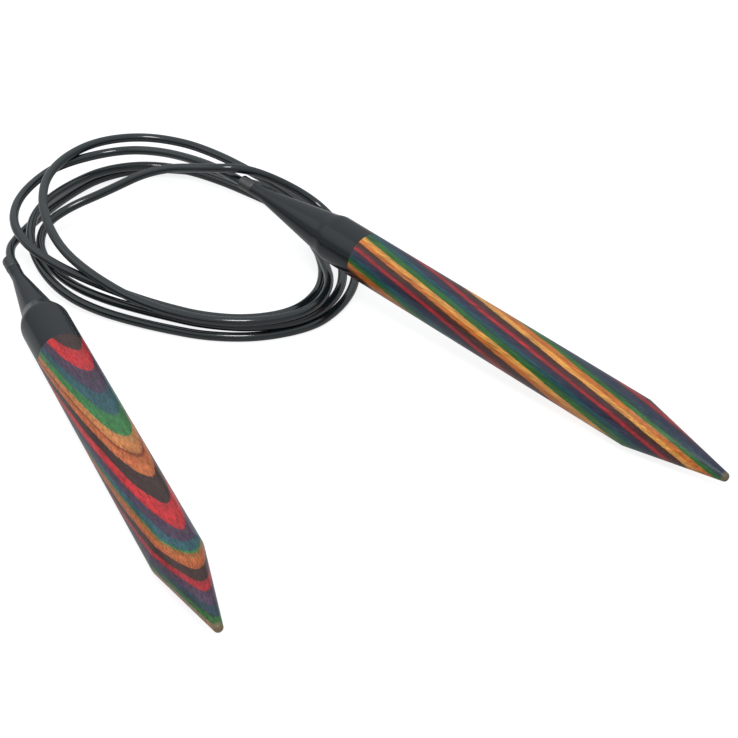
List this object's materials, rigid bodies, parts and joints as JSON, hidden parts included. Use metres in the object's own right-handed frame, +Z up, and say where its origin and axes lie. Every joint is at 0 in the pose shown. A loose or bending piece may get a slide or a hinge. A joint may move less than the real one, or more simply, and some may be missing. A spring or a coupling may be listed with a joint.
{
  "type": "circular knitting needle",
  "caption": "Thick pointed needles of dyed laminated wood with tapered black connectors, joined by a long black cord in a loose coil.",
  "frame": {"origin": "on the supporting surface, under the middle of the box around the two needles with their connectors (the cord left out)", "axes": "+Z up from the supporting surface; +X to the right and +Y away from the viewer, with both points towards the viewer's side"},
  "size_m": [0.1691, 0.2023, 0.0233],
  "materials": {
    "laminated_wood": "lacquered",
    "connector_black": "semi-gloss",
    "end_ring_metal": "darkened",
    "crimp_metal": "satin",
    "dowel_steel": "satin",
    "cord_black": "gloss"
  },
  "bodies": {
    "cord": {"coil": "cord_black", "right_lead": "cord_black", "left_lead": "cord_black", "crossing_turn": "cord_black", "left_cord_end": "crimp_metal", "right_cord_end": "crimp_metal"},
    "left_needle": {"left_shaft": "laminated_wood", "left_connector": "connector_black", "left_end_ring": "end_ring_metal", "left_dowel": "dowel_steel"},
    "right_needle": {"right_shaft": "laminated_wood", "right_connector": "connector_black", "right_end_ring": "end_ring_metal", "right_dowel": "dowel_steel"}
  },
  "joints": [
    {"name": "left_swivel", "type": "hinge", "parent": "cord", "child": "left_needle", "pos_m": [-0.0827, 0.0614, 0.006], "axis": [0.3827, -0.9239, 0], "continuous": true},
    {"name": "right_swivel", "type": "hinge", "parent": "cord", "child": "right_needle", "pos_m": [-0.0256, 0.0817, 0.01726], "axis": [0.7044, -0.7044, -0.0872], "continuous": true}
  ]
}
